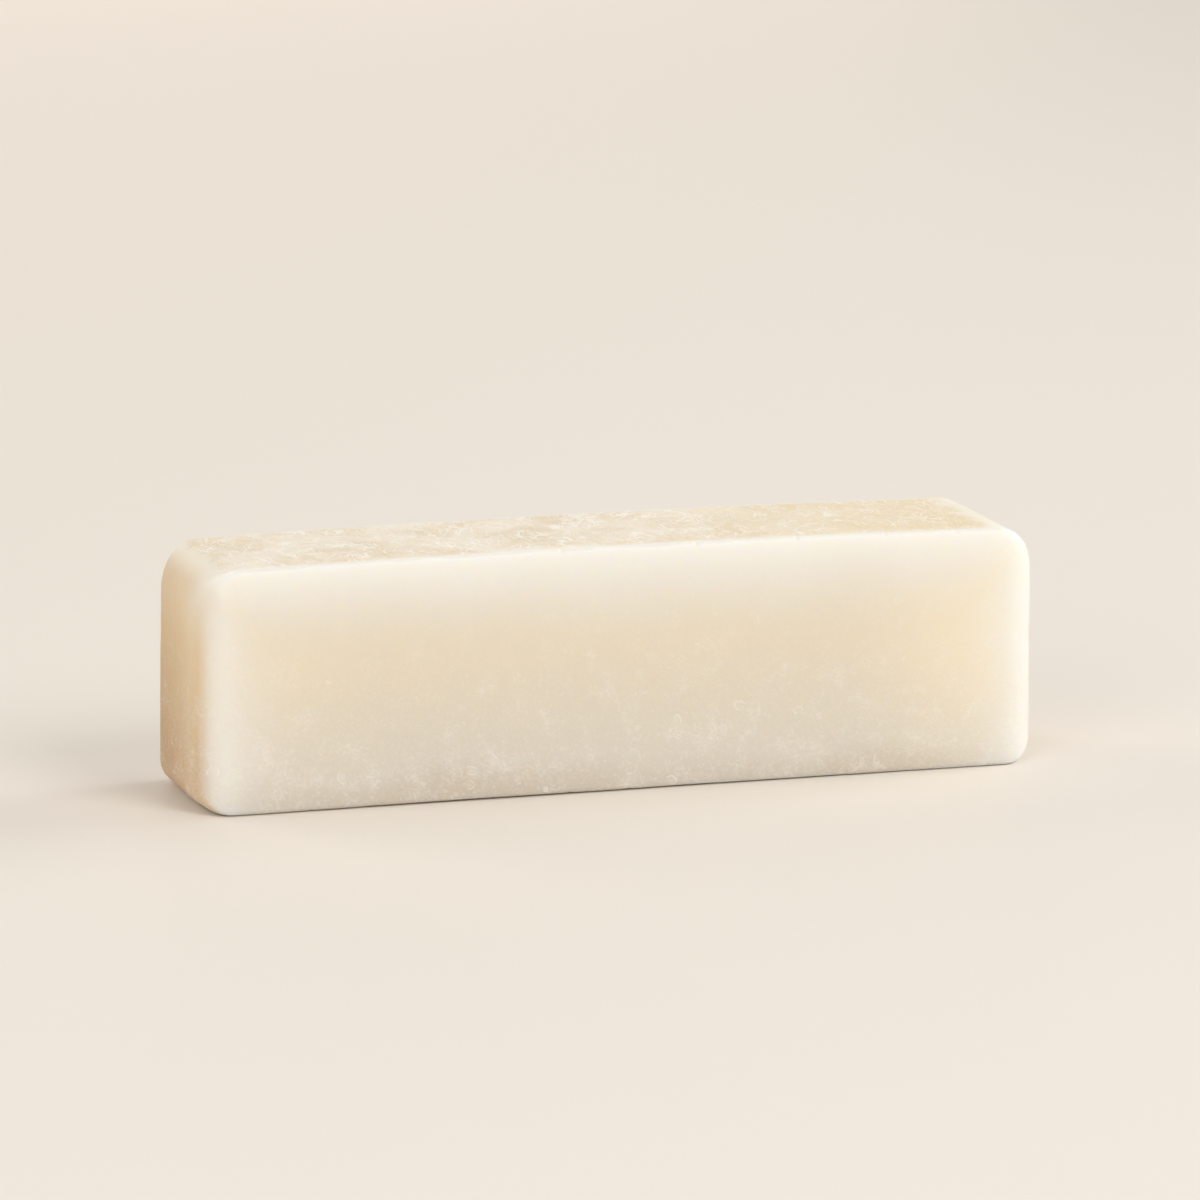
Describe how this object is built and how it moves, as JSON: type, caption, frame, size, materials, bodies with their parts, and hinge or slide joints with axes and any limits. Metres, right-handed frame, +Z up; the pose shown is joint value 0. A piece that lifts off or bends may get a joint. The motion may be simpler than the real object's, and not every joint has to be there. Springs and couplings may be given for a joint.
{
  "type": "stain remover soap stick",
  "caption": "Moulded oblong soap stick for rubbing stains out of cloth: crowned top, flat underside, soft rounded ends and crisp long edges.",
  "frame": {"origin": "middle of the flat underside that the bar lies on", "axes": "+X along the bar's length, +Y through it from the front broad face to the back one, +Z up out of the crowned top"},
  "size_m": [0.09, 0.0184, 0.0254],
  "materials": {
    "soap": "waxy, satin"
  },
  "bodies": {
    "root": {"soap_bar": "soap"}
  },
  "joints": []
}
